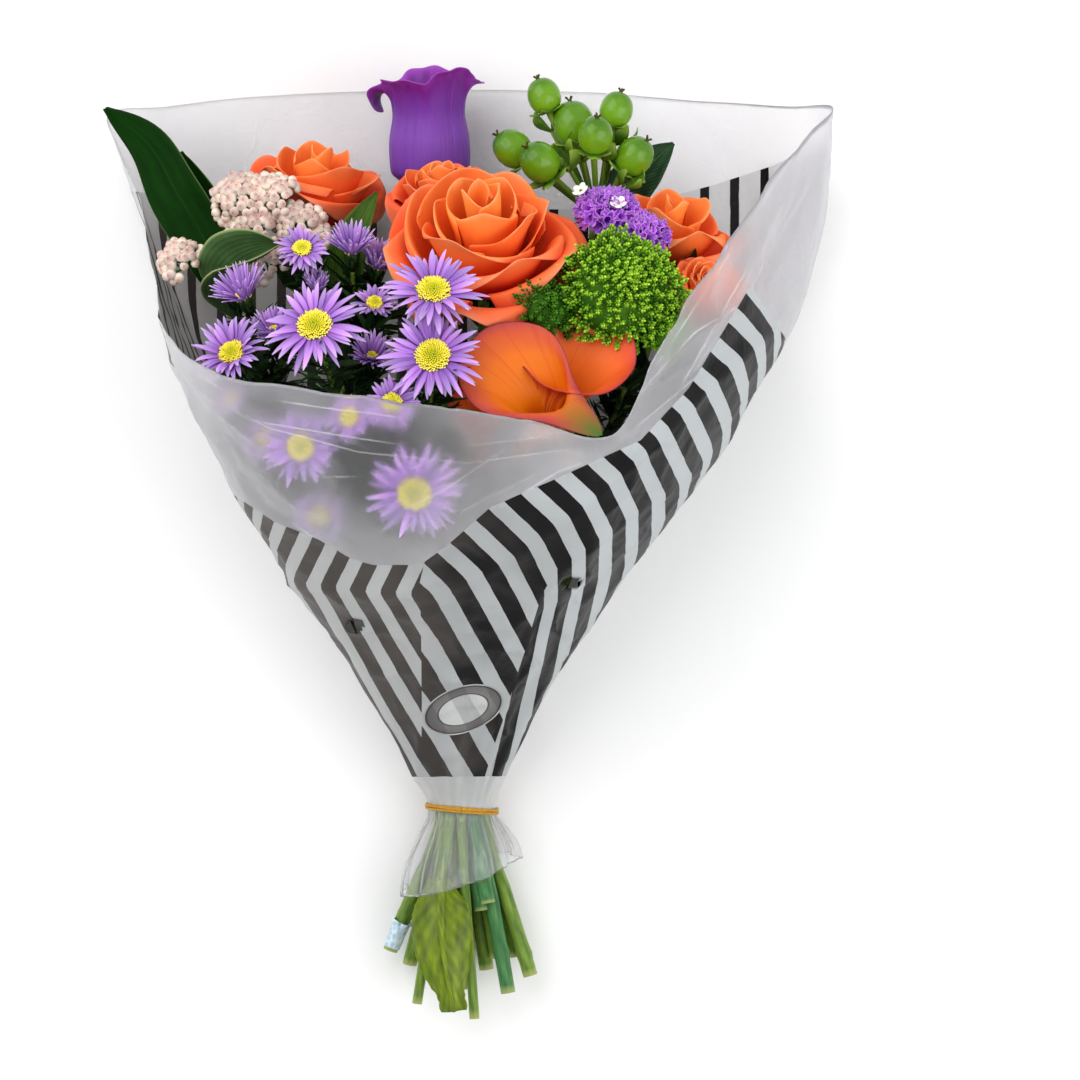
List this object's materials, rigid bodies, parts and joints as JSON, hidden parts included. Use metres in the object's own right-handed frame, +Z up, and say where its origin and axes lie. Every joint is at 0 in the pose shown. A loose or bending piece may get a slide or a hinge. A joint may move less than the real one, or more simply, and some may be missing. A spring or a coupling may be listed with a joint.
{
  "type": "mixed flower bouquet in a film sleeve",
  "caption": "Mixed bouquet of roses, callas, asters, berries and greenery, its cut stems held by a rubber band in a striped film sleeve, lying on its back.",
  "frame": {"origin": "middle of the sleeve's flat back face, where the bouquet rests", "axes": "+Y along the stems from their cut ends to the flowers, +Z up out of the surface it lies on, +X to the right seen from above with the flowers pointing away"},
  "size_m": [0.326, 0.4315, 0.179],
  "materials": {
    "sleeve_film": "thin frosted film with a black and white stripe print",
    "rubber": "matt ochre",
    "tape": "crumpled pale blue tape",
    "stem": "fresh green bark, cut ends paler",
    "leaf": "waxy dark green",
    "rose_petal": "velvety orange",
    "calla_petal": "waxy orange with a pink rim",
    "aster_petal": "lilac petals round a yellow disc",
    "bell_petal": "velvety purple",
    "statice_floret": "papery purple",
    "berry": "glossy green",
    "green_bud": "tiny bright green buds",
    "rice_bud": "tiny pale pink buds"
  },
  "bodies": {
    "root": {"sleeve_film": "sleeve_film", "rubber_band": "rubber", "rose_centre": "rose_petal", "rose_centre_stem": "stem", "rose_left": "rose_petal", "rose_left_stem": "stem", "rose_back": "rose_petal", "rose_back_stem": "stem", "rose_right": "rose_petal", "rose_right_stem": "stem", "rose_small": "rose_petal", "rose_small_stem": "stem", "bell_flower": "bell_petal", "bell_flower_stem": "stem", "calla_front": "calla_petal", "calla_front_stem": "stem", "calla_right": "calla_petal", "calla_right_stem": "stem", "calla_small": "calla_petal", "calla_small_stem": "stem", "aster_top_head_1": "aster_petal", "aster_top_head_2": "aster_petal", "aster_top_head_3": "aster_petal", "aster_top_stem": "stem", "aster_left_head_1": "aster_petal", "aster_left_head_2": "aster_petal", "aster_left_stem": "stem", "aster_mid_head_1": "aster_petal", "aster_mid_head_2": "aster_petal", "aster_mid_stem": "stem", "aster_low_head_1": "aster_petal", "aster_low_stem": "stem", "aster_right_head_1": "aster_petal", "aster_right_head_2": "aster_petal", "aster_right_head_3": "aster_petal", "aster_right_head_4": "aster_petal", "aster_right_stem": "stem", "hypericum_berries": "berry", "hypericum_stem": "stem", "green_cluster": "green_bud", "green_cluster_stem": "stem", "statice": "statice_floret", "statice_stem": "stem", "rice_flower": "rice_bud", "rice_flower_stem": "stem", "ruscus_leaf_long": "leaf", "ruscus_leaf_back": "leaf", "ruscus_leaf_curled": "leaf", "pointed_leaf": "leaf", "hypericum_leaf": "leaf", "stem_leaf": "leaf", "ruscus_stem": "stem", "stem_tape": "tape"}
  },
  "joints": []
}
